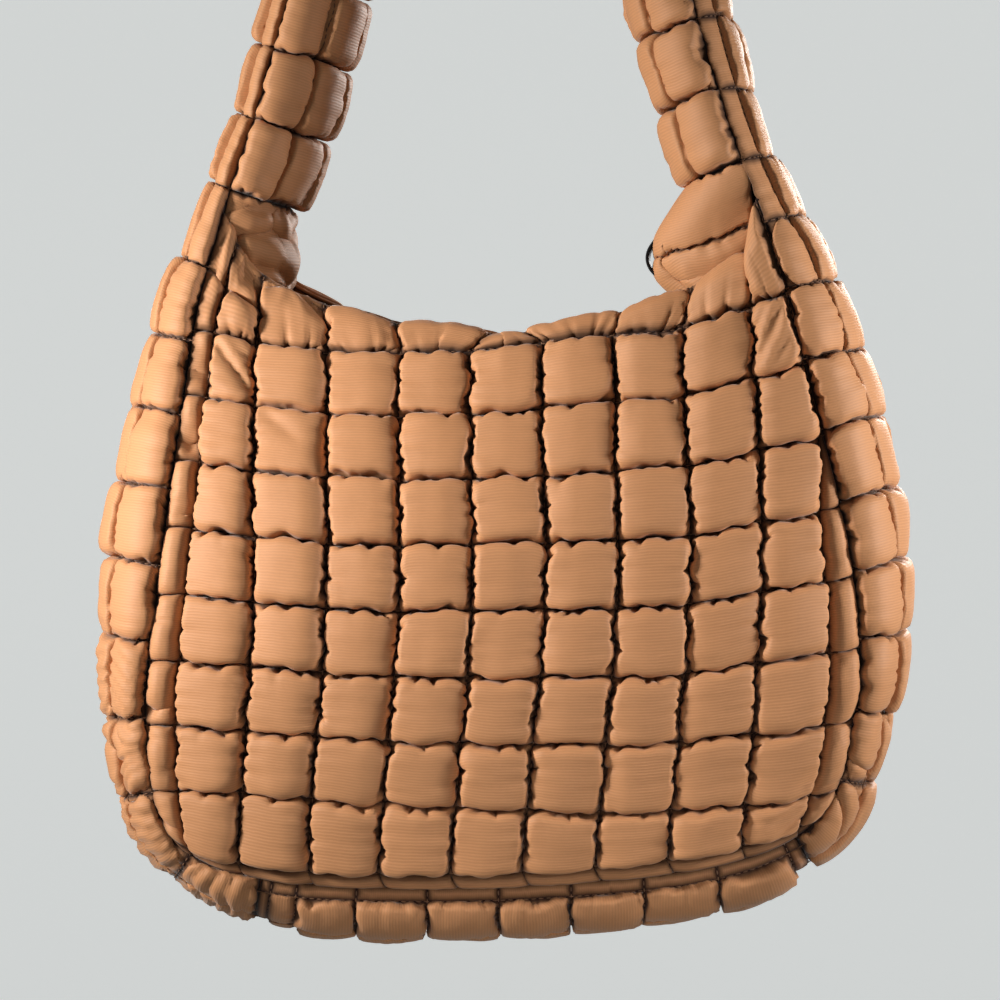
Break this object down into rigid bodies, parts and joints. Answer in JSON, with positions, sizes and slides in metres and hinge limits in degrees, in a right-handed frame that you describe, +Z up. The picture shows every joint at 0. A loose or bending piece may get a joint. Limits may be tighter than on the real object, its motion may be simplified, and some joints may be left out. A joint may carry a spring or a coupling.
{
  "type": "quilted tote bag",
  "caption": "Puffy quilted shoulder tote hanging by its wide padded strap, with a dipping open mouth and a quilted strip round its sides and bottom.",
  "frame": {"origin": "under the crown of the strap, where a hook or a shoulder carries the bag", "axes": "+Z up, +X to the right as seen from the front, the front panel faces -Y"},
  "size_m": [0.5043, 0.1828, 0.7445],
  "materials": {
    "quilted_nylon": "camel tan woven nylon over soft filling, low sheen",
    "plain_nylon": "camel tan woven nylon, plain, low sheen",
    "black_ribbon": "black woven ribbon, matt"
  },
  "bodies": {
    "root": {"front_panel": "quilted_nylon", "back_panel": "quilted_nylon", "bottom_gusset": "quilted_nylon", "strap_strip": "quilted_nylon", "strap_lining": "quilted_nylon", "right_facing": "plain_nylon", "left_facing": "plain_nylon", "inner_loop": "black_ribbon"}
  },
  "joints": []
}
